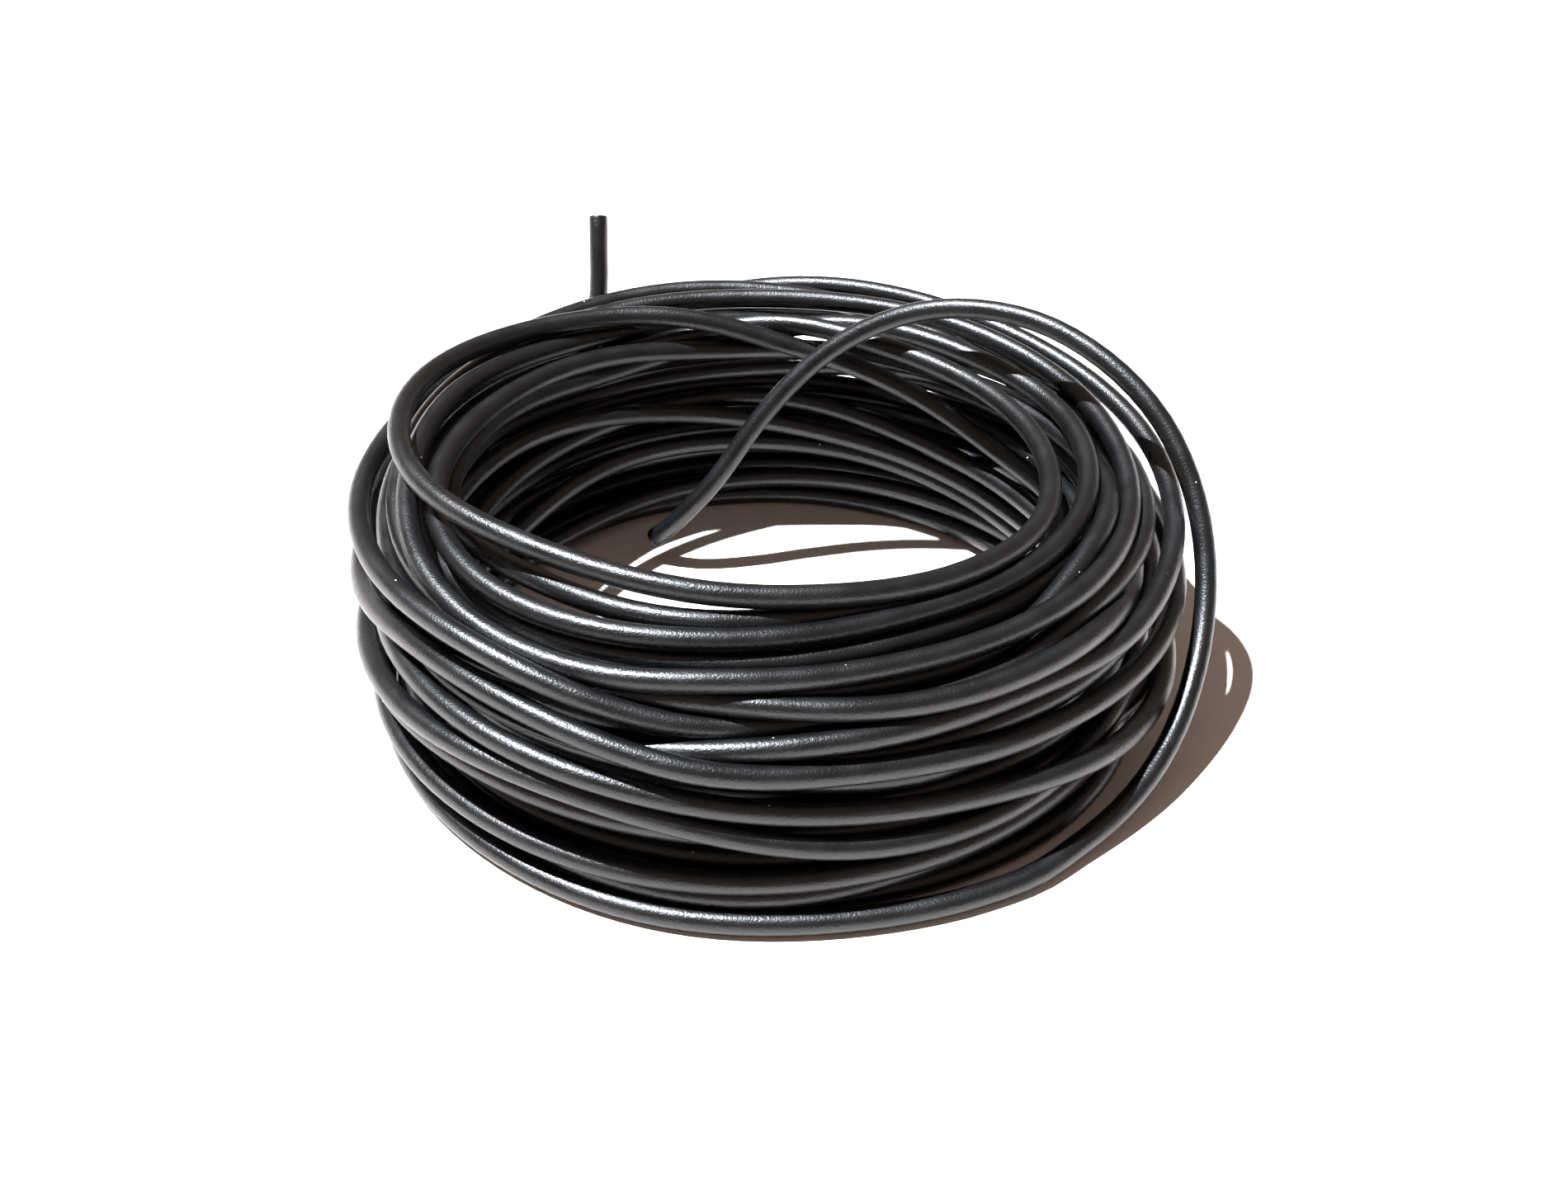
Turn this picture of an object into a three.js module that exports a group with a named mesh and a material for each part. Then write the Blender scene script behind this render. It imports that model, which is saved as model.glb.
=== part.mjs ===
// Loose hand-wound coil of thin black insulated cable, both ends cut bare. Millimetres, +Z up.
// The coil lies flat on the floor at z = 0. One end of the same cable lies across the bore, over the rim
// and down the right side, and the other end stands up behind the coil.
import * as THREE from 'three';

// Cable
const cableDiameter = 2.4;
const cableSides = 8;
const tubeStep = 2.2 * cableDiameter;

// Wound bundle, measured to the outer faces of its turns
const coilOuterRadius = 45.0;
const boreRadius = 31.6;
const coilHeight = 31.6;
const shoulderRadius = 9.6;
const crownRadius = 1.8;
const footRadius = 2.9;
const turnPitch = 2.6;
const ringSegments = 36;

// Each turn's crown is a land between two edges, this far round from its middle
const crownHalfAngle = Math.PI / 6;
const grooveDepth = 0.9;

// Height of the standing end's tip above the floor
const standingEndHeight = 35.0;

// Routes of the two free ends, [x, y, z] about the coil's axis. The loose turn starts at its cut tip,
// just above the floor inside the bore. The standing end ends in its own cut tip. Each route has its other
// end beside the outside of the bundle, where the cable joins it.
const looseTurnRoute = [
  [-14.8, 21.0, 3.2], [-12.0, 20.1, 6.2], [-9.5, 20.2, 8.9], [-7.2, 20.8, 11.4], [-5.2, 21.5, 14.0],
  [-3.3, 22.4, 16.6], [-1.3, 23.2, 19.2], [3.0, 24.6, 23.9], [8.0, 25.3, 28.1], [13.5, 25.0, 31.4],
  [19.4, 23.6, 33.7], [25.4, 21.3, 34.7], [31.0, 18.1, 34.7], [35.9, 14.5, 33.5], [40.2, 10.5, 31.4],
  [43.7, 6.5, 28.4], [46.1, 2.5, 24.7], [47.5, -1.5, 20.6], [47.9, -5.7, 16.4], [47.3, -10.1, 12.4],
  [45.8, -14.8, 8.9], [43.4, -19.7, 5.9], [40.1, -24.6, 3.7], [36.0, -29.1, 2.2], [31.2, -33.3, 1.4],
  [26.3, -37.2, 1.2],
];
const standingEndRoute = [
  [-41.2, 21.8, 9.0], [-38.0, 27.1, 9.2], [-34.2, 32.0, 9.9], [-30.0, 36.4, 11.8], [-26.3, 39.8, 15.2],
  [-23.7, 42.0, 20.0], [-22.5, 44.3, 26.5], [-22.4, 46.7, 31.5], [-22.4, 48.7, standingEndHeight],
];

const insulation = new THREE.MeshStandardMaterial({
  name: 'black_insulation', color: 0x1c1d1f, roughness: 0.42, metalness: 0,
});

// Closed line through the middles of the outermost turns, from the foot of the bore round to the crown.
function bundleOutline() {
  const half = cableDiameter / 2;
  const inner = boreRadius + half;
  const outer = coilOuterRadius - half;
  const foot = half * Math.cos(crownHalfAngle);
  const top = coilHeight - half * Math.cos(crownHalfAngle);
  const outline = new THREE.Path();
  outline.moveTo(inner + footRadius, foot);
  outline.lineTo(outer - footRadius, foot);
  outline.absarc(outer - footRadius, foot + footRadius, footRadius, -Math.PI / 2, 0, false);
  outline.lineTo(outer, top - shoulderRadius);
  outline.absarc(outer - shoulderRadius, top - shoulderRadius, shoulderRadius, 0, Math.PI / 2, false);
  outline.lineTo(inner + crownRadius, top);
  outline.absarc(inner + crownRadius, top - crownRadius, crownRadius, Math.PI / 2, Math.PI, false);
  outline.lineTo(inner, foot + footRadius);
  outline.absarc(inner + footRadius, foot + footRadius, footRadius, Math.PI, 1.5 * Math.PI, false);
  return outline;
}

// Lathe profile of the bundle: one crowned ridge for each turn that shows, with a groove between turns.
function coilProfile() {
  const outline = bundleOutline();
  const turns = Math.round(outline.getLength() / turnPitch);
  const half = cableDiameter / 2;
  const profile = [];
  const addPoint = (along, outward, sideways) => {
    const middle = outline.getPointAt(along % 1);
    const tangent = outline.getTangentAt(along % 1);
    const normal = new THREE.Vector2(tangent.y, -tangent.x);
    const point = middle.addScaledVector(normal, outward).addScaledVector(tangent, sideways);
    profile.push(new THREE.Vector2(point.x, Math.max(point.y, 0)));
  };
  const crown = half * Math.cos(crownHalfAngle);
  const reach = half * Math.sin(crownHalfAngle);
  for (let turn = 0; turn < turns; turn += 1) {
    const along = (turn + 0.5) / turns;
    addPoint(along, crown, -reach);
    addPoint(along, crown, reach);
    addPoint((turn + 1) / turns, crown - grooveDepth, 0);
  }
  profile.push(profile[0].clone());
  return profile;
}

function coilGeometry() {
  const geometry = new THREE.LatheGeometry(coilProfile(), ringSegments);
  geometry.rotateX(Math.PI / 2);
  return geometry;
}

function cableSection() {
  const corners = [];
  for (let side = 0; side < cableSides; side += 1) {
    const angle = ((side + 0.5) * 2 * Math.PI) / cableSides;
    const radius = cableDiameter / 2;
    corners.push(new THREE.Vector2(radius * Math.cos(angle), radius * Math.sin(angle)));
  }
  return new THREE.Shape(corners);
}

function cableGeometry(route) {
  const path = new THREE.CatmullRomCurve3(route.map((point) => new THREE.Vector3(...point)), false, 'centripetal');
  const steps = Math.ceil(path.getLength() / tubeStep);
  return new THREE.ExtrudeGeometry(cableSection(), { steps, bevelEnabled: false, extrudePath: path });
}

function namedMesh(name, geometry) {
  const mesh = new THREE.Mesh(geometry, insulation);
  mesh.name = name;
  return mesh;
}

const cable = new THREE.Group();
cable.name = 'cable';
cable.add(namedMesh('cable_coil', coilGeometry()));
cable.add(namedMesh('loose_turn', cableGeometry(looseTurnRoute)));
cable.add(namedMesh('standing_end', cableGeometry(standingEndRoute)));

// The origin is under the middle of the whole object, on the floor.
const bounds = new THREE.Box3().setFromObject(cable);
const middle = bounds.getCenter(new THREE.Vector3());
cable.position.set(-middle.x, -middle.y, -bounds.min.z);

const part = new THREE.Group();
part.add(cable);

export default part;
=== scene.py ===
"""Loose hand-wound coil of thin, satin black, plastic-insulated cable, lying flat on a pale floor.

The whole coil is one cable. It starts at a cut tip inside the bore, rises over the back right rim,
comes down the right side, runs round the foot of the bundle and is wound inwards and upwards through
it, comes back down the outside, and ends in a second cut tip that stands up behind the coil.
"""
import logging
import math
from dataclasses import dataclass, field
from enum import Enum

import bpy
import numpy as np
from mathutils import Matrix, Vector

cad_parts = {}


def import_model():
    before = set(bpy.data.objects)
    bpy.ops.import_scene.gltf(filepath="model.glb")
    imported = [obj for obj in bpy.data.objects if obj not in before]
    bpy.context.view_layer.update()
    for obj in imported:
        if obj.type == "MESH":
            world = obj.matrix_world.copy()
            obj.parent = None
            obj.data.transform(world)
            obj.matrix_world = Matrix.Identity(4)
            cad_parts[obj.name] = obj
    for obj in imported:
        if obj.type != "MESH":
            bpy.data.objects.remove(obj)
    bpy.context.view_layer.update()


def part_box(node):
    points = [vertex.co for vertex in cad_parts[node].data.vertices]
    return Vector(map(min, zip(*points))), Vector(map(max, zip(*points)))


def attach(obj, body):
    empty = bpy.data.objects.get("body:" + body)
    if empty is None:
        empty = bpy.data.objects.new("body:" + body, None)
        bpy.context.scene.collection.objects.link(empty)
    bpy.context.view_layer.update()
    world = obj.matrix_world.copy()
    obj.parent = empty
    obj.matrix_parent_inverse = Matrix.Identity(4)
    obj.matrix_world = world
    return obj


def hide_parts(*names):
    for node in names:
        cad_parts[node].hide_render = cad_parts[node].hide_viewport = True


log = logging.getLogger("cable_coil")

MILLIMETRE = 0.001
CABLE_DIAMETER = 2.4 * MILLIMETRE
COIL_NODE = "cable_coil"
LOOSE_NODE = "loose_turn"
STANDING_NODE = "standing_end"
ROOT_BODY = "root"

FULL_TURN = 360
CENTRIPETAL_POWER = 0.5
POINTS_PER_SPAN = 12
BRIGHTEST_BYTE = 255
SRGB_LIMIT = 0.04045
SRGB_SLOPE = 12.92
SRGB_OFFSET = 0.055
SRGB_SCALE = 1.055
SRGB_POWER = 2.4

# Routes of the two free ends in millimetres about the coil's axis, as the solids have them. Their points
# were read by eye, worked out with a scratch camera at judged heights, rounded and then moved by hand.
LOOSE_TURN_ROUTE = (
    (-14.8, 21.0, 3.2), (-12.0, 20.1, 6.2), (-9.5, 20.2, 8.9), (-7.2, 20.8, 11.4), (-5.2, 21.5, 14.0),
    (-3.3, 22.4, 16.6), (-1.3, 23.2, 19.2), (3.0, 24.6, 23.9), (8.0, 25.3, 28.1), (13.5, 25.0, 31.4),
    (19.4, 23.6, 33.7), (25.4, 21.3, 34.7), (31.0, 18.1, 34.7), (35.9, 14.5, 33.5), (40.2, 10.5, 31.4),
    (43.7, 6.5, 28.4), (46.1, 2.5, 24.7), (47.5, -1.5, 20.6), (47.9, -5.7, 16.4), (47.3, -10.1, 12.4),
    (45.8, -14.8, 8.9), (43.4, -19.7, 5.9), (40.1, -24.6, 3.7), (36.0, -29.1, 2.2), (31.2, -33.3, 1.4),
    (26.3, -37.2, 1.2),
)
STANDING_END_ROUTE = (
    (-41.2, 21.8, 9.0), (-38.0, 27.1, 9.2), (-34.2, 32.0, 9.9), (-30.0, 36.4, 11.8), (-26.3, 39.8, 15.2),
    (-23.7, 42.0, 20.0), (-22.5, 44.3, 26.5), (-22.4, 46.7, 31.5), (-22.4, 48.7, 35.0),
)


class ViewTransform(Enum):
    """Colour transforms of the finished picture."""

    STANDARD = "Standard"


def linear(hex_colour: str) -> tuple[float, float, float, float]:
    """Turns an sRGB hex colour into linear values.

    Args:
        hex_colour: six hex digits after a number sign.

    Returns:
        Red, green, blue and an alpha of one.
    """
    channels = [int(hex_colour[i:i + 2], 16) / BRIGHTEST_BYTE for i in (1, 3, 5)]
    red, green, blue = (
        c / SRGB_SLOPE if c <= SRGB_LIMIT else ((c + SRGB_OFFSET) / SRGB_SCALE) ** SRGB_POWER
        for c in channels)
    return red, green, blue, 1.0


def add_node(tree: bpy.types.NodeTree, kind: str, links: dict | None = None, **settings) -> bpy.types.Node:
    """Adds a node with its settings, values and links.

    Args:
        tree: the node tree.
        kind: the node's type name.
        links: an output socket or a plain value for each input, by the input's name or number.
        settings: attributes of the node.

    Returns:
        The new node.
    """
    node = tree.nodes.new(kind)
    for name, value in settings.items():
        setattr(node, name, value)
    for key, value in (links or {}).items():
        socket = node.inputs[key]
        if isinstance(value, bpy.types.NodeSocket):
            tree.links.new(value, socket)
        else:
            socket.default_value = value
    return node


@dataclass(frozen=True)
class Turn:
    """One turn of the winding, as the places where the cable's middle passes.

    Attributes:
        passes: bearing in degrees, clockwise from the right as seen from above, then radius and height
            in cable diameters.
    """

    passes: tuple[tuple[float, float, float], ...]


# The turns in the order they were wound. Where passes lie close together the turn is held firmly, and where
# they lie wide apart it settles more freely. The passes of turns that show were found as the points of the
# free ends were, and most of the others were placed one by one.
TURNS = (
    Turn(((62, 18.8, 0.5), (72, 18.3, 0.5), (87, 18.15, 0.5), (101, 18.2, 0.5), (115, 18.1, 0.5),
          (130, 18.0, 0.5), (152, 18.05, 0.5), (180, 18.1, 0.5), (225, 18.0, 0.5), (270, 17.9, 0.5),
          (315, 17.8, 0.5))),
    Turn(((0, 17.0, 0.5), (60, 17.0, 0.5), (90, 17.0, 0.5), (180, 17.0, 0.5), (270, 16.9, 0.5))),
    Turn(((0, 16.0, 0.5), (90, 15.9, 0.5), (180, 15.9, 0.5), (270, 15.9, 0.5))),
    Turn(((0, 15.0, 0.5), (90, 14.9, 0.5), (180, 14.8, 0.5), (258, 14.6, 0.5), (290, 14.6, 0.5),
          (305, 14.6, 0.6), (325, 14.6, 1.0))),
    Turn(((0, 14.6, 1.4), (90, 15.3, 1.4), (180, 15.0, 1.2), (219, 14.4, 0.9), (240, 14.4, 1.3),
          (270, 14.3, 1.7), (300, 14.3, 2.0))),
    Turn(((0, 15.4, 1.6), (90, 16.4, 1.4), (180, 16.2, 1.4), (270, 16.5, 1.5))),
    Turn(((0, 16.6, 1.5), (90, 17.3, 1.4), (180, 17.3, 1.4), (270, 17.5, 1.4))),
    Turn(((0, 17.0, 2.4), (90, 16.4, 2.4), (180, 17.0, 2.4), (270, 16.6, 2.4))),
    Turn(((0, 15.6, 2.6), (90, 15.4, 2.4), (180, 15.6, 2.6), (207, 14.4, 3.2), (224, 14.0, 4.4),
          (248, 13.9, 4.5), (271, 14.0, 4.15), (294, 14.0, 3.9), (319, 14.15, 3.4), (334, 14.2, 3.1))),
    Turn(((0, 14.6, 3.5), (90, 14.9, 3.5), (180, 14.9, 3.8), (270, 15.1, 3.4))),
    Turn(((0, 16.0, 3.5), (90, 16.0, 3.4), (180, 16.2, 3.4), (270, 16.4, 3.4))),
    Turn(((0, 16.6, 4.4), (90, 16.2, 4.6), (180, 16.6, 4.6), (270, 16.8, 4.5))),
    Turn(((0, 15.4, 4.5), (90, 15.0, 4.6), (180, 15.5, 4.8), (270, 15.4, 4.6))),
    Turn(((0, 14.6, 5.4), (90, 14.8, 5.7), (150, 15.2, 6.8), (180, 15.4, 7.8), (197, 14.6, 8.3),
          (212, 14.3, 8.1), (225, 14.05, 7.6), (237, 13.8, 7.2), (248, 13.6, 6.7), (260, 13.6, 6.1),
          (271, 13.6, 5.6), (283, 13.6, 5.1), (306, 13.8, 4.4), (335, 14.0, 4.1))),
    Turn(((0, 14.4, 4.8), (90, 14.3, 6.0), (180, 14.6, 6.0), (270, 14.6, 6.8), (288, 13.9, 6.3),
          (311, 13.65, 5.6), (345, 13.6, 5.9))),
    Turn(((0, 14.4, 6.2), (90, 15.8, 5.7), (180, 16.0, 5.8), (270, 15.8, 5.8))),
    Turn(((0, 16.4, 5.4), (90, 15.9, 6.7), (180, 16.6, 6.8), (270, 17.0, 5.8))),
    Turn(((0, 17.7, 7.0), (25, 17.2, 7.0), (90, 15.0, 7.0), (180, 15.8, 7.0), (270, 15.8, 7.0))),
    Turn(((0, 15.0, 7.0), (90, 14.1, 7.6), (180, 14.8, 8.8), (225, 15.2, 8.2), (270, 15.4, 8.0),
          (310, 15.4, 9.0), (321, 15.8, 9.2), (335, 15.6, 9.2))),
    Turn(((0, 15.3, 8.9), (25, 14.2, 8.6), (45, 13.5, 8.75), (60, 13.4, 8.9), (75, 13.6, 8.9),
          (90, 14.0, 8.6), (180, 16.2, 8.2), (270, 16.0, 8.2))),
    Turn(((0, 15.8, 8.0), (90, 15.5, 8.0), (170, 17.9, 8.2), (186, 18.7, 8.6), (196, 18.9, 8.6),
          (210, 18.4, 8.9), (225, 18.0, 8.8), (270, 17.4, 7.6))),
    Turn(((0, 17.0, 7.2), (90, 15.3, 9.0), (160, 16.8, 9.2), (180, 17.4, 9.4), (200, 17.7, 9.7),
          (225, 17.5, 10.1), (250, 17.6, 10.3), (275, 18.0, 10.4), (300, 17.9, 10.1), (325, 18.0, 9.3),
          (345, 17.1, 8.7))),
    Turn(((0, 16.0, 8.7), (22, 14.1, 9.4), (37, 13.35, 9.45), (53, 12.85, 9.55), (62, 12.75, 9.7),
          (79, 12.95, 9.8), (90, 13.4, 9.9), (101, 13.75, 9.95), (114, 14.1, 9.95), (125, 14.5, 9.9),
          (150, 15.0, 9.6), (180, 15.8, 10.2), (225, 15.4, 10.6), (262, 14.2, 11.0), (271, 13.5, 11.5),
          (283, 12.95, 11.5), (300, 12.2, 11.5), (324, 12.4, 11.25))),
    Turn(((0, 12.75, 10.95), (15, 12.7, 10.8), (42, 12.45, 11.0), (57, 11.9, 11.35), (68, 11.7, 11.6),
          (78, 11.7, 11.8), (88, 11.75, 11.9), (98, 11.9, 12.1), (107, 12.1, 12.3), (127, 12.65, 12.55),
          (144, 13.7, 12.8), (158, 15.25, 13.0), (179, 16.45, 13.0), (196, 17.0, 13.0), (209, 16.7, 12.7),
          (222, 16.0, 12.5), (234, 15.1, 12.4), (246, 13.9, 12.3), (256, 13.1, 12.1), (267, 13.0, 11.2),
          (279, 13.1, 10.2), (294, 13.15, 9.3), (307, 13.3, 8.6), (320, 13.4, 7.8), (334, 13.5, 7.3))),
    Turn(((0, 13.6, 8.6), (30, 12.6, 9.3), (50, 11.45, 10.05), (62, 11.4, 10.4), (69, 11.4, 10.7),
          (78, 11.7, 10.9), (87, 11.95, 11.0), (94, 12.2, 11.05), (102, 12.45, 11.1), (109, 12.65, 11.1),
          (119, 12.9, 11.15), (134, 13.1, 11.2), (150, 13.7, 10.9), (180, 14.6, 10.0), (225, 14.6, 10.2),
          (270, 14.9, 10.6), (290, 14.1, 11.6), (305, 13.9, 11.6), (319, 14.6, 11.2), (331, 15.1, 10.8))),
    Turn(((0, 14.75, 10.45), (22, 13.7, 10.3), (37, 12.95, 10.3), (53, 12.45, 10.4), (69, 12.4, 10.6),
          (82, 12.55, 10.75), (91, 13.05, 10.85), (99, 13.45, 10.95), (107, 13.8, 10.95), (124, 14.5, 11.1),
          (143, 15.4, 11.4), (165, 14.8, 11.8), (182, 14.5, 11.4), (211, 13.8, 11.3), (225, 13.55, 11.2),
          (237, 13.3, 11.0), (249, 13.3, 10.5), (262, 13.5, 10.0), (280, 14.2, 9.8), (320, 14.6, 9.6))),
    Turn(((0, 15.6, 9.4), (90, 14.2, 8.9), (150, 16.4, 9.6), (180, 16.7, 10.8), (200, 16.7, 11.4),
          (225, 16.9, 11.5), (243, 16.5, 11.8), (262, 15.9, 11.8), (290, 15.8, 11.8), (307, 16.5, 11.5),
          (320, 16.8, 11.05), (333, 16.8, 10.6), (347, 16.7, 10.3))),
    Turn(((8, 16.3, 9.8), (25, 15.5, 9.7), (44, 14.9, 9.7), (60, 14.5, 9.75), (73, 14.4, 9.85),
          (90, 14.9, 9.85), (105, 15.55, 9.95), (122, 16.15, 10.3), (143, 16.65, 10.9), (158, 16.3, 11.6),
          (175, 15.7, 12.0), (200, 15.6, 12.2), (225, 15.2, 11.4), (250, 14.8, 10.9), (300, 15.4, 10.2))),
    Turn(((0, 17.3, 9.3), (20, 16.6, 8.9), (45, 15.4, 8.5), (70, 14.9, 8.4), (90, 15.1, 8.5),
          (105, 15.9, 8.9), (113, 16.6, 9.6), (122, 17.2, 10.5), (135, 17.5, 10.9), (150, 17.8, 10.5),
          (166, 18.2, 10.3), (176, 18.4, 10.3), (188, 18.5, 10.3), (195, 18.4, 10.6), (205, 17.9, 10.9),
          (225, 18.1, 11.2), (243, 18.5, 11.4), (259, 18.2, 11.4), (275, 17.3, 11.3), (295, 17.3, 10.6),
          (320, 18.0, 8.9), (341, 18.7, 7.2))),
    Turn(((7, 18.9, 6.1), (23, 18.4, 5.9), (35, 17.5, 5.85), (57, 16.6, 6.2), (75, 16.65, 6.9),
          (89, 16.9, 7.25), (101, 17.2, 7.8), (114, 17.55, 8.7), (128, 17.7, 9.0), (147, 17.6, 8.7),
          (160, 18.0, 7.6), (168, 18.4, 6.8), (176, 18.9, 6.3), (189, 19.3, 6.8), (210, 18.9, 8.4),
          (240, 18.3, 10.0), (260, 18.7, 10.9), (274, 18.7, 11.4), (291, 18.3, 11.5), (305, 18.5, 10.9),
          (325, 18.9, 10.2), (341, 19.3, 9.4), (355, 18.95, 8.6))),
    Turn(((5, 18.5, 8.1), (20, 17.8, 8.0), (29, 17.1, 7.9), (40, 16.4, 7.85), (53, 16.0, 7.85),
          (70, 16.1, 8.05), (80, 16.35, 8.25), (86, 16.5, 8.3), (93, 16.55, 8.1), (104, 16.6, 7.7),
          (120, 16.4, 7.4), (180, 17.0, 7.0), (225, 17.2, 6.4), (300, 17.6, 4.8))),
    Turn(((0, 18.6, 2.9), (24, 18.5, 2.6), (38, 18.1, 3.7), (47, 17.6, 3.9), (58, 17.2, 4.35),
          (68, 17.1, 4.8), (78, 17.1, 5.15), (87, 17.2, 5.5), (95, 17.4, 5.85), (103, 17.65, 6.35),
          (112, 17.9, 6.8), (121, 18.1, 7.1), (131, 18.2, 7.2), (150, 17.8, 7.2), (180, 17.6, 6.0),
          (225, 18.4, 5.6), (270, 18.2, 5.0), (315, 18.0, 4.4))),
    Turn(((0, 17.4, 4.2), (30, 17.2, 3.6), (49, 17.4, 3.3), (64, 17.5, 3.2), (71, 17.45, 3.4),
          (80, 17.45, 3.8), (89, 17.5, 4.25), (97, 17.6, 4.8), (103, 17.8, 5.25), (110, 17.9, 5.85),
          (123, 18.2, 6.15), (142, 18.6, 5.7), (170, 18.7, 4.6), (182, 18.8, 4.4), (225, 18.4, 4.0),
          (270, 17.8, 3.4))),
    Turn(((0, 17.2, 2.4), (40, 16.9, 2.2), (56, 17.3, 2.2), (72, 17.6, 2.4), (91, 17.6, 2.1),
          (111, 17.75, 2.0), (135, 18.0, 2.1), (151, 18.3, 2.0), (180, 18.4, 1.8), (270, 17.6, 2.2))),
    Turn(((0, 17.8, 1.8), (60, 16.6, 3.4), (90, 16.5, 4.0), (130, 17.2, 4.0), (160, 18.4, 3.6),
          (180, 18.9, 3.4), (200, 19.2, 3.6))),
)


@dataclass
class Winding:
    """The wound turns, settled against each other, the floor and the two free ends.

    The turns are cut into slices like a cake. In each slice the cable shows as round sections, which
    are pushed apart until they hardly overlap, while the cable's own stiffness keeps it smooth.

    Attributes:
        turns: the turns in the order they were wound.
        slices: number of slices in one turn.
        steps: number of settling steps.
        clearance: least distance between two middles, in cable diameters.
        close_gap: passes nearer than this part of a turn hold the cable firmly.
        firm_hold: part of the way back to its wanted place that a firmly held station takes at first.
        slack_hold: the same for a station between wide passes.
        bend_stiffness: how much of an uneven bend is smoothed out in a step.
        push: part of an overlap by which each of the two sections gives way in a step.
        rest_height: least height of a middle above the floor, in cable diameters.
        least_distance: added to each distance, so that none is zero, in cable diameters.
        fixed: middle lines of the free ends, in cable diameters.
    """

    turns: tuple[Turn, ...]
    slices: int = 72
    steps: int = 700
    clearance: float = 1.0
    close_gap: float = 0.1
    firm_hold: float = 0.1
    slack_hold: float = 0.008
    bend_stiffness: float = 0.05
    push: float = 0.42
    rest_height: float = 0.5
    least_distance: float = 1e-9
    fixed: list[np.ndarray] = field(default_factory=list)

    def stations(self) -> tuple[np.ndarray, np.ndarray, np.ndarray, np.ndarray]:
        """Works out the unsettled line of the winding.

        Returns:
            Each station's number, radius, height and hold, the first counted in slices.
        """
        passes = np.array([
            (i + bearing / FULL_TURN, radius, height)
            for i, turn in enumerate(self.turns) for bearing, radius, height in turn.passes])
        first = math.ceil(passes[0, 0] * self.slices)
        last = math.floor(passes[-1, 0] * self.slices)
        number = np.arange(first, last + 1)
        along = number / self.slices
        radius = np.interp(along, passes[:, 0], passes[:, 1])
        height = np.interp(along, passes[:, 0], passes[:, 2])
        gaps = np.diff(passes[:, 0])
        span = np.clip(np.searchsorted(passes[:, 0], along) - 1, 0, len(gaps) - 1)
        hold = np.where(gaps[span] < self.close_gap, self.firm_hold, self.slack_hold)
        return number, radius, height, hold

    def obstacles(self) -> list[list[tuple[float, float]]]:
        """Finds where the free ends pass through each slice.

        Returns:
            For each slice, the radius and height of every free end there, in cable diameters.
        """
        found: list[list[tuple[float, float]]] = [[] for _ in range(self.slices)]
        for route in self.fixed:
            bearing = np.unwrap(-np.arctan2(route[:, 1], route[:, 0])) * self.slices / (2 * math.pi)
            radius = np.hypot(route[:, 0], route[:, 1])
            for station in range(math.ceil(bearing[0]), math.floor(bearing[-1]) + 1):
                place = (np.interp(station, bearing, radius), np.interp(station, bearing, route[:, 2]))
                found[station % self.slices].append(place)
        return found

    def settle(self) -> np.ndarray:
        """Pushes the turns apart step by step, and reports the deepest overlap that is left in a slice.

        Returns:
            The middle line of the winding, about the coil's axis, in cable diameters.
        """
        number, wanted_radius, wanted_height, hold = self.stations()
        line = np.stack([wanted_radius, wanted_height], axis=1)
        wanted = line.copy()
        count = len(line)
        obstacles = self.obstacles()
        fixed = [(count + i, s, place) for i, (s, place) in enumerate(
            (s, place) for s, places in enumerate(obstacles) for place in places)]
        line = np.vstack([line, np.array([place for _, _, place in fixed]).reshape(-1, 2)])
        in_slice = [list(np.flatnonzero(number % self.slices == s)) for s in range(self.slices)]
        for index, s, _ in fixed:
            in_slice[s].append(index)
        widest = max(len(members) for members in in_slice)
        table = np.array([members + [-1] * (widest - len(members)) for members in in_slice])
        real = table >= 0
        movable = real & (table < count)
        pairs = real[:, :, None] & real[:, None, :] & ~np.eye(widest, dtype=bool)[None]
        for step in range(self.steps):
            ease = 1 - step / self.steps
            line[:count] += ease * hold[:, None] * (wanted - line[:count])
            line[:count] -= self.bend_stiffness * self._fourth_difference(line[:count])
            section = line[table]
            apart = section[:, :, None, :] - section[:, None, :, :]
            distance = np.sqrt((apart ** 2).sum(-1)) + self.least_distance
            overlap = np.where(pairs & (distance < self.clearance), self.clearance - distance, 0.0)
            force = (overlap[..., None] * apart / distance[..., None]).sum(2)
            line[table[movable]] += self.push * force[movable]
            line[:count, 1] = np.maximum(line[:count, 1], self.rest_height)
        log.info("winding: %d stations, deepest overlap in a slice %.3f diameters", count, overlap.max())
        angle = -2 * math.pi * number / self.slices
        radius, height = line[:count, 0], line[:count, 1]
        return np.stack([radius * np.cos(angle), radius * np.sin(angle), height], axis=1)

    @staticmethod
    def _fourth_difference(line: np.ndarray) -> np.ndarray:
        """Gives how unevenly the line bends at each station."""
        second = np.zeros_like(line)
        second[1:-1] = line[:-2] - 2 * line[1:-1] + line[2:]
        fourth = np.zeros_like(line)
        fourth[1:-1] = second[:-2] - 2 * second[1:-1] + second[2:]
        return fourth


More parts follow.
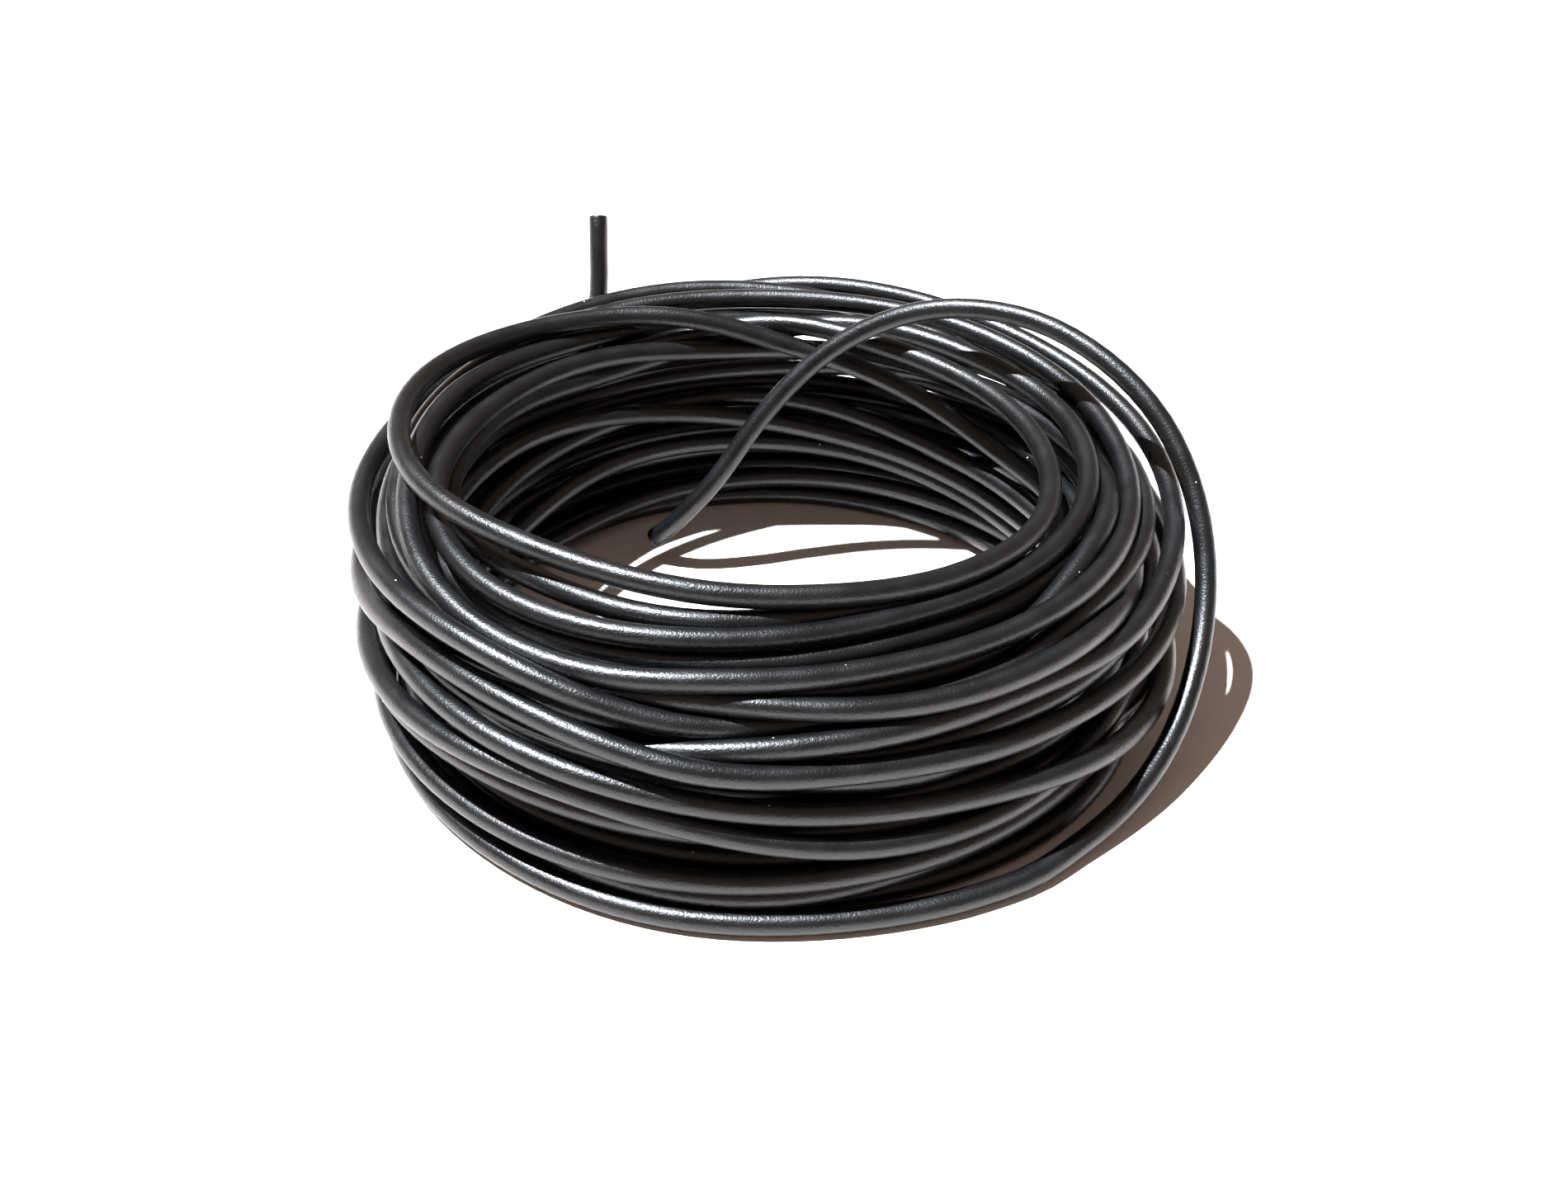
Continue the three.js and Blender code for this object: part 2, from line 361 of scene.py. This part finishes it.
def smooth_curve(points: np.ndarray, spacing: float) -> np.ndarray:
    """Draws a centripetal Catmull-Rom curve through points and divides it evenly.

    Args:
        points: the points it goes through.
        spacing: the distance between the points that are returned.

    Returns:
        Evenly spaced points on the curve.
    """
    before = 2 * points[0] - points[1]
    after = 2 * points[-1] - points[-2]
    guides = np.vstack([before, points, after])
    dense = []
    for p0, p1, p2, p3 in zip(guides, guides[1:], guides[2:], guides[3:]):
        t0 = 0.0
        t1 = t0 + np.linalg.norm(p1 - p0) ** CENTRIPETAL_POWER
        t2 = t1 + np.linalg.norm(p2 - p1) ** CENTRIPETAL_POWER
        t3 = t2 + np.linalg.norm(p3 - p2) ** CENTRIPETAL_POWER
        t = np.linspace(t1, t2, POINTS_PER_SPAN, endpoint=False)[:, None]
        a1 = (t1 - t) / (t1 - t0) * p0 + (t - t0) / (t1 - t0) * p1
        a2 = (t2 - t) / (t2 - t1) * p1 + (t - t1) / (t2 - t1) * p2
        a3 = (t3 - t) / (t3 - t2) * p2 + (t - t2) / (t3 - t2) * p3
        b1 = (t2 - t) / (t2 - t0) * a1 + (t - t0) / (t2 - t0) * a2
        b2 = (t3 - t) / (t3 - t1) * a2 + (t - t1) / (t3 - t1) * a3
        dense.append((t2 - t) / (t2 - t1) * b1 + (t - t1) / (t2 - t1) * b2)
    curve = np.vstack([*dense, points[-1:]])
    along = np.concatenate([[0.0], np.cumsum(np.linalg.norm(np.diff(curve, axis=0), axis=1))])
    even = np.linspace(0.0, along[-1], max(2, round(along[-1] / spacing)) + 1)
    return np.stack([np.interp(even, along, curve[:, axis]) for axis in range(3)], axis=1)


@dataclass
class CutEnds:
    """How the insulation looks where the cable was snipped off: its rim is squeezed in a little.

    Attributes:
        rim_depths: distances from the cut, in metres.
        rim_girths: the cable's thickness there, as a part of its full thickness.
    """

    rim_depths: tuple[float, ...] = (0.0, 0.08 * MILLIMETRE, 0.22 * MILLIMETRE)
    rim_girths: tuple[float, ...] = (0.86, 0.965, 1.0)

    def add_rims(self, line: np.ndarray) -> tuple[np.ndarray, np.ndarray]:
        """Adds the points of both rims to the line.

        Args:
            line: the cable's middle line, in metres.

        Returns:
            The longer line, and the cable's girth at each of its points.
        """
        head = self._rim(line[0], line[1])
        tail = self._rim(line[-1], line[-2])[::-1]
        girth = np.ones(len(line) - 2)
        rim = np.array(self.rim_girths)
        return np.vstack([head, line[1:-1], tail]), np.concatenate([rim, girth, rim[::-1]])

    def _rim(self, tip: np.ndarray, inward: np.ndarray) -> np.ndarray:
        """Gives the points of one rim, from the cut inwards."""
        direction = (inward - tip) / np.linalg.norm(inward - tip)
        return np.array([tip + depth * direction for depth in self.rim_depths])


@dataclass(frozen=True)
class SatinPvc:
    """Soft PVC insulation, extruded, black all through.

    The hot melt leaves a fine sandy skin, so light breaks up into grains along each highlight. The
    surface is otherwise smooth enough to mirror the pale floor softly along the underside. The grain of
    the real skin may be finer, and it is drawn as coarse as it needs to show.

    Attributes:
        grain: width of one grain, in metres.
        grain_height: how far the grains stand out, in metres.
        grain_detail: how many finer layers a grain has.
        grain_harshness: how strongly those layers show.
        ripple: length of one slight wave of the surface, in metres.
        ripple_height: how far a wave stands out, in metres.
        ripple_detail: how many finer layers a wave has.
        ripple_harshness: how strongly those layers show.
        ripple_range: between which of the waves' values the roughness changes.
        roughness_change: how far the roughness differs at both ends of that range.
        dust_spacing: about how far apart specks of dust lie, in metres.
        speck_edge: how far from its middle a speck starts to fade and is gone, in dust spacings.
    """

    name: str = "extruded_soft_pvc_black"
    body_colour: str = "#08090a"
    dust_colour: str = "#c9c7c2"
    ior: float = 1.53
    roughness: float = 0.34
    grain: float = 0.24 * MILLIMETRE
    grain_height: float = 0.05 * MILLIMETRE
    grain_detail: float = 2.0
    grain_harshness: float = 0.6
    ripple: float = 3.5 * MILLIMETRE
    ripple_height: float = 0.02 * MILLIMETRE
    ripple_detail: float = 1.0
    ripple_harshness: float = 0.4
    ripple_range: tuple[float, float] = (0.3, 0.7)
    roughness_change: tuple[float, float] = (-0.04, 0.06)
    dust_spacing: float = 4.2 * MILLIMETRE
    speck_edge: tuple[float, float] = (0.015, 0.03)

    def build(self) -> bpy.types.Material:
        """Makes the material.

        Returns:
            The finished material.
        """
        material = bpy.data.materials.new(self.name)
        material.use_nodes = True
        tree = material.node_tree
        tree.nodes.clear()
        place = add_node(tree, "ShaderNodeTexCoord").outputs["Object"]
        grain = self._noise(tree, place, 1 / self.grain, self.grain_detail, self.grain_harshness)
        ripple = self._noise(tree, place, 1 / self.ripple, self.ripple_detail, self.ripple_harshness)
        soft = add_node(tree, "ShaderNodeBump", {
            "Height": ripple, "Strength": 1.0, "Distance": self.ripple_height})
        skin = add_node(tree, "ShaderNodeBump", {
            "Height": grain, "Strength": 1.0, "Distance": self.grain_height,
            "Normal": soft.outputs["Normal"]})
        dull = add_node(tree, "ShaderNodeMapRange", {
            "Value": ripple, "From Min": self.ripple_range[0], "From Max": self.ripple_range[1],
            "To Min": self.roughness + self.roughness_change[0],
            "To Max": self.roughness + self.roughness_change[1]})
        dust = self._dust(tree, place)
        colour = add_node(tree, "ShaderNodeMix", {
            0: dust, 6: linear(self.body_colour), 7: linear(self.dust_colour)}, data_type="RGBA")
        shader = add_node(tree, "ShaderNodeBsdfPrincipled", {
            "Base Color": colour.outputs[2], "Roughness": dull.outputs["Result"], "IOR": self.ior,
            "Normal": skin.outputs["Normal"]})
        add_node(tree, "ShaderNodeOutputMaterial", {"Surface": shader.outputs["BSDF"]})
        return material

    @staticmethod
    def _noise(tree: bpy.types.NodeTree, place: bpy.types.NodeSocket, scale: float,
               detail: float, harshness: float) -> bpy.types.NodeSocket:
        """Adds a noise of a real scale and gives its value."""
        links = {"Vector": place, "Scale": scale, "Detail": detail, "Roughness": harshness}
        return add_node(tree, "ShaderNodeTexNoise", links).outputs["Fac"]

    def _dust(self, tree: bpy.types.NodeTree, place: bpy.types.NodeSocket) -> bpy.types.NodeSocket:
        """Adds rare pale specks, about one to each dust spacing, and gives where they are."""
        cells = add_node(tree, "ShaderNodeTexVoronoi", {"Vector": place, "Scale": 1 / self.dust_spacing})
        speck = add_node(tree, "ShaderNodeMapRange", {
            "Value": cells.outputs["Distance"], "From Min": self.speck_edge[0],
            "From Max": self.speck_edge[1], "To Min": 1.0, "To Max": 0.0})
        return speck.outputs["Result"]


@dataclass
class InsulatedCable:
    """The cable itself, one tube of insulation from cut tip to cut tip.

    Attributes:
        coil_axis: where the coil's axis meets the floor, in the row frame.
        finish: the insulation's finish.
        diameter: over the insulation, in metres.
        sides: number of faces round the tube.
        step: distance between two rings of the tube, in metres.
        guide_spacing: distance between the points that stand for a free end while the turns settle, in
            cable diameters.
        cut_ends: how both tips look.
    """

    coil_axis: Vector
    finish: SatinPvc
    diameter: float = CABLE_DIAMETER
    sides: int = 18
    step: float = 2.4 * MILLIMETRE
    guide_spacing: float = 0.5
    cut_ends: CutEnds = field(default_factory=CutEnds)

    def route(self) -> np.ndarray:
        """Joins the free ends and the winding into one line.

        Returns:
            The cable's middle line in the row frame, in metres.
        """
        scale = self.diameter / MILLIMETRE
        loose = np.array(LOOSE_TURN_ROUTE) / scale
        standing = np.array(STANDING_END_ROUTE) / scale
        fixed = [smooth_curve(end, self.guide_spacing) for end in (loose, standing)]
        wound = Winding(TURNS, fixed=fixed).settle()
        guides = np.vstack([loose, wound, standing])
        line = smooth_curve(guides, self.step / self.diameter) * self.diameter
        return line + np.array(self.coil_axis)

    def build(self) -> tuple[bpy.types.Object, np.ndarray]:
        """Makes the cable's mesh.

        Returns:
            The cable and its middle line in the row frame.
        """
        line, girth = self.cut_ends.add_rims(self.route())
        mesh = bpy.data.meshes.new("cable_line")
        edges = [(i, i + 1) for i in range(len(line) - 1)]
        mesh.from_pydata([tuple(p) for p in line], edges, [])
        mesh.attributes.new("girth", "FLOAT", "POINT").data.foreach_set("value", girth)
        source = bpy.data.objects.new("cable_line", mesh)
        bpy.context.scene.collection.objects.link(source)
        modifier = source.modifiers.new("sheath", "NODES")
        modifier.node_group = self._sheath_tree()
        inputs = {"Cable Diameter": self.diameter, "Sides": self.sides, "Insulation": self.finish.build()}
        for item in modifier.node_group.interface.items_tree:
            if item.name in inputs:
                modifier[item.identifier] = inputs[item.name]
        graph = bpy.context.evaluated_depsgraph_get()
        sheath = bpy.data.meshes.new_from_object(source.evaluated_get(graph))
        cable = bpy.data.objects.new("insulated_cable", sheath)
        bpy.context.scene.collection.objects.link(cable)
        source.modifiers.remove(modifier)
        bpy.data.objects.remove(source)
        return cable, line

    @staticmethod
    def _sheath_tree() -> bpy.types.GeometryNodeTree:
        """Builds the tree that sweeps a round section along the cable's line.

        Returns:
            The node tree, with the cable's diameter, sides and material as inputs.
        """
        tree = bpy.data.node_groups.new("sheath_along_line", "GeometryNodeTree")
        sockets = tree.interface
        sockets.new_socket("Line", in_out="INPUT", socket_type="NodeSocketGeometry")
        sockets.new_socket("Cable Diameter", in_out="INPUT", socket_type="NodeSocketFloat")
        sockets.new_socket("Sides", in_out="INPUT", socket_type="NodeSocketInt")
        sockets.new_socket("Insulation", in_out="INPUT", socket_type="NodeSocketMaterial")
        sockets.new_socket("Sheath", in_out="OUTPUT", socket_type="NodeSocketGeometry")
        given = add_node(tree, "NodeGroupInput").outputs
        radius = add_node(tree, "ShaderNodeMath", {0: given["Cable Diameter"], 1: 0.5}, operation="MULTIPLY")
        section = add_node(tree, "GeometryNodeCurvePrimitiveCircle", {
            "Resolution": given["Sides"], "Radius": radius.outputs[0]})
        line = add_node(tree, "GeometryNodeMeshToCurve", {"Mesh": given["Line"]})
        girth = add_node(tree, "GeometryNodeInputNamedAttribute", {"Name": "girth"}, data_type="FLOAT")
        sweep = add_node(tree, "GeometryNodeCurveToMesh", {
            "Curve": line.outputs["Curve"], "Profile Curve": section.outputs["Curve"],
            "Scale": girth.outputs["Attribute"], "Fill Caps": True})
        smooth = add_node(tree, "GeometryNodeSetShadeSmooth", {
            "Geometry": sweep.outputs["Mesh"], "Shade Smooth": True})
        real = add_node(tree, "GeometryNodeRealizeInstances", {"Geometry": smooth.outputs["Geometry"]})
        dressed = add_node(tree, "GeometryNodeSetMaterial", {
            "Geometry": real.outputs["Geometry"], "Material": given["Insulation"]})
        add_node(tree, "NodeGroupOutput", {"Sheath": dressed.outputs["Geometry"]})
        return tree


@dataclass
class Studio:
    """Pale floor, hard overhead key light, pale surroundings and the camera.

    Attributes:
        coil_axis: where the coil's axis meets the floor.
        surroundings: colour of the even light from all round.
        surroundings_strength: strength of that light.
        backdrop: what the camera sees beyond the floor, instead of those surroundings.
        backdrop_strength: how bright the camera sees it.
        key_direction: from the coil towards the key light.
        key_angle: how wide the key light looks, which softens its shadows.
        camera_pitch: how steeply the camera looks down.
        camera_distance: from the camera to its target.
        camera_target: the point it looks at, from the coil's axis on the floor.
        focal_length_pixels: how far the camera's eye lies behind a picture of the width that follows.
    """

    coil_axis: Vector
    floor_half_width: float = 20.0
    floor_colour: str = "#e5ddd7"
    floor_roughness: float = 0.8
    surroundings: str = "#ffe3d4"
    surroundings_strength: float = 0.29
    backdrop: str = "#ffffff"
    backdrop_strength: float = 1.0
    key_direction: tuple[float, float, float] = (-0.38, 0.03, 1.0)
    key_colour: str = "#f1f7ff"
    key_strength: float = 15.5
    key_angle: float = math.radians(1.2)
    camera_pitch: float = math.radians(35.0)
    camera_distance: float = 187.2 * MILLIMETRE
    camera_target: tuple[float, float, float] = (1.7 * MILLIMETRE, -3.1 * MILLIMETRE, 12.0 * MILLIMETRE)
    focal_length_pixels: float = 2020.0
    image_width_pixels: float = 1900.0
    sensor_width: float = 36.0
    clip_start: float = 10 * MILLIMETRE

    def build(self) -> None:
        """Makes the floor, the lights and the camera."""
        self._floor()
        self._surroundings()
        self._key_light()
        self._camera()
        bpy.context.scene.view_settings.view_transform = ViewTransform.STANDARD.value

    def _floor(self) -> None:
        """Makes the floor, which is no part of the object."""
        mesh = bpy.data.meshes.new("floor")
        w = self.floor_half_width
        mesh.from_pydata([(-w, -w, 0), (w, -w, 0), (w, w, 0), (-w, w, 0)], [], [(0, 1, 2, 3)])
        floor = bpy.data.objects.new("floor", mesh)
        bpy.context.scene.collection.objects.link(floor)
        material = bpy.data.materials.new("white_card")
        material.use_nodes = True
        shader = material.node_tree.nodes["Principled BSDF"]
        shader.inputs["Base Color"].default_value = linear(self.floor_colour)
        shader.inputs["Roughness"].default_value = self.floor_roughness
        mesh.materials.append(material)

    def _surroundings(self) -> None:
        """Lights everything evenly from a pale room, in front of a white backdrop."""
        world = bpy.data.worlds.new("white_room")
        world.use_nodes = True
        tree = world.node_tree
        room = tree.nodes["Background"]
        room.inputs["Color"].default_value = linear(self.surroundings)
        room.inputs["Strength"].default_value = self.surroundings_strength
        backdrop = add_node(tree, "ShaderNodeBackground", {
            "Color": linear(self.backdrop), "Strength": self.backdrop_strength})
        ray = add_node(tree, "ShaderNodeLightPath")
        both = add_node(tree, "ShaderNodeMixShader", {
            0: ray.outputs["Is Camera Ray"], 1: room.outputs["Background"],
            2: backdrop.outputs["Background"]})
        tree.links.new(both.outputs["Shader"], tree.nodes["World Output"].inputs["Surface"])
        bpy.context.scene.world = world

    def _key_light(self) -> None:
        """Adds the hard light from high on the left, a little behind the coil."""
        light = bpy.data.lights.new("key", "SUN")
        light.energy = self.key_strength
        light.color = linear(self.key_colour)[:3]
        light.angle = self.key_angle
        lamp = bpy.data.objects.new("key", light)
        lamp.rotation_mode = "QUATERNION"
        lamp.rotation_quaternion = Vector(self.key_direction).to_track_quat("Z", "Y")
        bpy.context.scene.collection.objects.link(lamp)

    def _camera(self) -> None:
        """Places the camera in front of the coil, looking down on it."""
        data = bpy.data.cameras.new("camera")
        data.sensor_width = self.sensor_width
        data.lens = self.focal_length_pixels / self.image_width_pixels * self.sensor_width
        data.clip_start = self.clip_start
        camera = bpy.data.objects.new("camera", data)
        back = Vector((0.0, -math.cos(self.camera_pitch), math.sin(self.camera_pitch)))
        target = self.coil_axis + Vector(self.camera_target)
        camera.location = target + back * self.camera_distance
        camera.rotation_mode = "QUATERNION"
        camera.rotation_quaternion = back.to_track_quat("Z", "Y")
        bpy.context.scene.collection.objects.link(camera)
        bpy.context.scene.camera = camera


def main() -> None:
    """Builds the studio and the cable, and reports each piece."""
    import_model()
    low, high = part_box(COIL_NODE)
    coil_axis = Vector(((low[0] + high[0]) / 2, (low[1] + high[1]) / 2, 0.0))
    Studio(coil_axis).build()
    cable, line = InsulatedCable(coil_axis, SatinPvc()).build()
    length = float(np.linalg.norm(np.diff(line, axis=0), axis=1).sum())
    log.info("%s: %d faces, %.3f m long", cable.name, len(cable.data.polygons), length)
    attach(cable, ROOT_BODY)
    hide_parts(COIL_NODE, LOOSE_NODE, STANDING_NODE)


if __name__ == "__main__":
    logging.basicConfig(level=logging.INFO, format="%(name)s: %(message)s")
    main()
